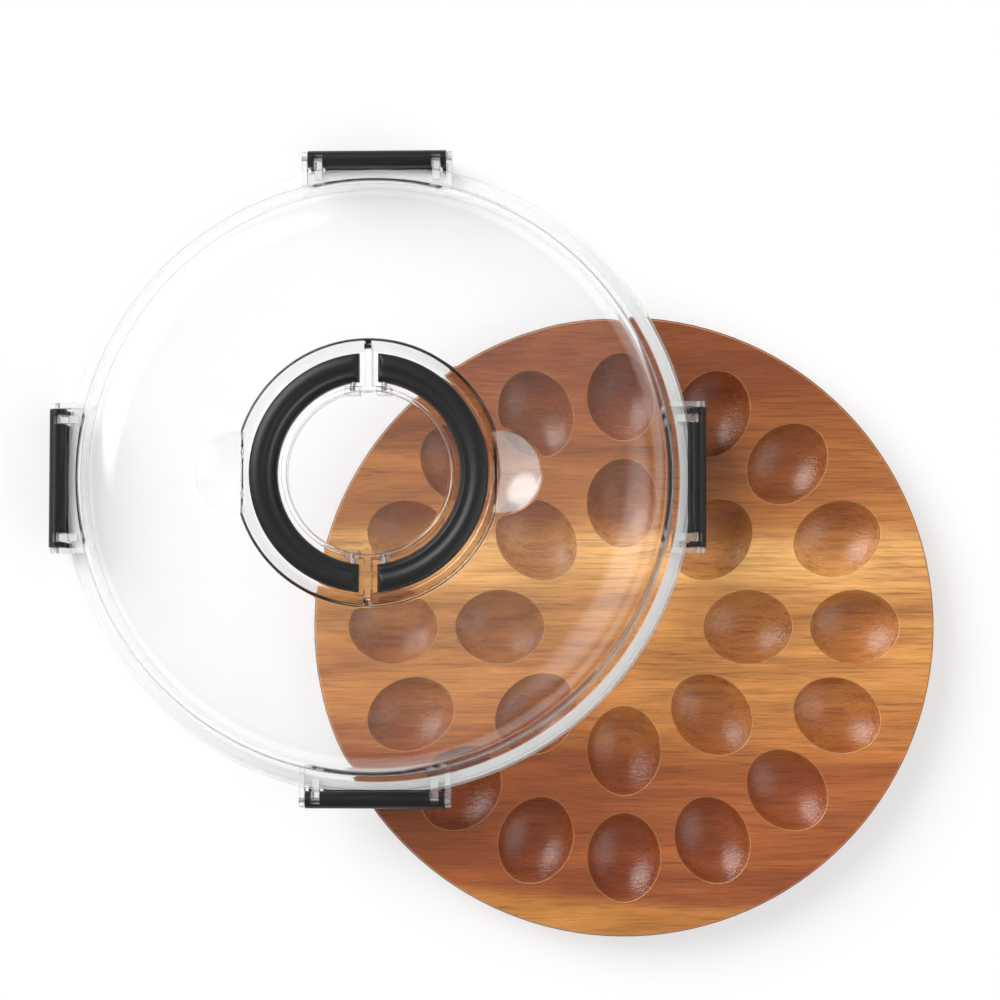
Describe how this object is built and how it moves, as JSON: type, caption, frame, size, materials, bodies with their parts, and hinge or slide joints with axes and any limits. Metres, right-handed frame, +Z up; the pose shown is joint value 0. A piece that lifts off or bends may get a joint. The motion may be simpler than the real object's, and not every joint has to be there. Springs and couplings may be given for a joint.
{
  "type": "deviled egg carrier",
  "caption": "Round wooden egg board with oval wells and a clear domed lid taken off and leaning on it, with snap latches at its rim and a folding ring handle.",
  "frame": {"origin": "centre of the board's flat underside", "axes": "+Z up out of the board's top, +X to the right and +Y away from the user as the picture shows the board from above"},
  "size_m": [0.5132, 0.4563, 0.1021],
  "materials": {
    "board_wood": "satin oiled acacia with long grain",
    "clear_lid": "clear glossy moulded plastic",
    "latch_black": "black satin moulded plastic",
    "handle_black": "black soft satin plastic",
    "grip_soft": "black soft matte grip",
    "pin_steel": "plain steel"
  },
  "bodies": {
    "root": {"tray_board": "board_wood", "lid_dome": "clear_lid", "latch_pin_right": "pin_steel", "latch_pin_back": "pin_steel", "latch_pin_left": "pin_steel", "latch_pin_front": "pin_steel", "handle_pin_right_front": "pin_steel", "handle_pin_right_back": "pin_steel", "handle_pin_left_front": "pin_steel", "handle_pin_left_back": "pin_steel"},
    "latch_right": {"latch_right": "latch_black"},
    "latch_back": {"latch_back": "latch_black"},
    "latch_left": {"latch_left": "latch_black"},
    "latch_front": {"latch_front": "latch_black"},
    "handle_right": {"handle_right": "handle_black", "handle_grip_right": "grip_soft"},
    "handle_left": {"handle_left": "handle_black", "handle_grip_left": "grip_soft"}
  },
  "joints": [
    {"name": "latch_right_hinge", "type": "hinge", "parent": "root", "child": "latch_right", "pos_m": [0.04119, 0.08681, 0.04787], "axis": [-0.0015, -0.9985, 0.0548], "range_deg": [0, 100]},
    {"name": "latch_back_hinge", "type": "hinge", "parent": "root", "child": "latch_back", "pos_m": [-0.14326, 0.27126, 0.02761], "axis": [0.9985, 0.0015, 0.0548], "range_deg": [0, 100]},
    {"name": "latch_left_hinge", "type": "hinge", "parent": "root", "child": "latch_left", "pos_m": [-0.32826, 0.08626, 0.02761], "axis": [0.0015, 0.9985, -0.0548], "range_deg": [0, 100]},
    {"name": "latch_front_hinge", "type": "hinge", "parent": "root", "child": "latch_front", "pos_m": [-0.14381, -0.09819, 0.04787], "axis": [-0.9985, -0.0015, -0.0548], "range_deg": [0, 100]},
    {"name": "handle_right_hinge", "type": "hinge", "parent": "root", "child": "handle_right", "pos_m": [-0.13732, 0.08912, 0.08508], "axis": [-0.0015, -0.9985, 0.0548], "range_deg": [0, 90]},
    {"name": "handle_left_hinge", "type": "hinge", "parent": "root", "child": "handle_left", "pos_m": [-0.15489, 0.08909, 0.08411], "axis": [0.0015, 0.9985, -0.0548], "range_deg": [0, 90]}
  ]
}
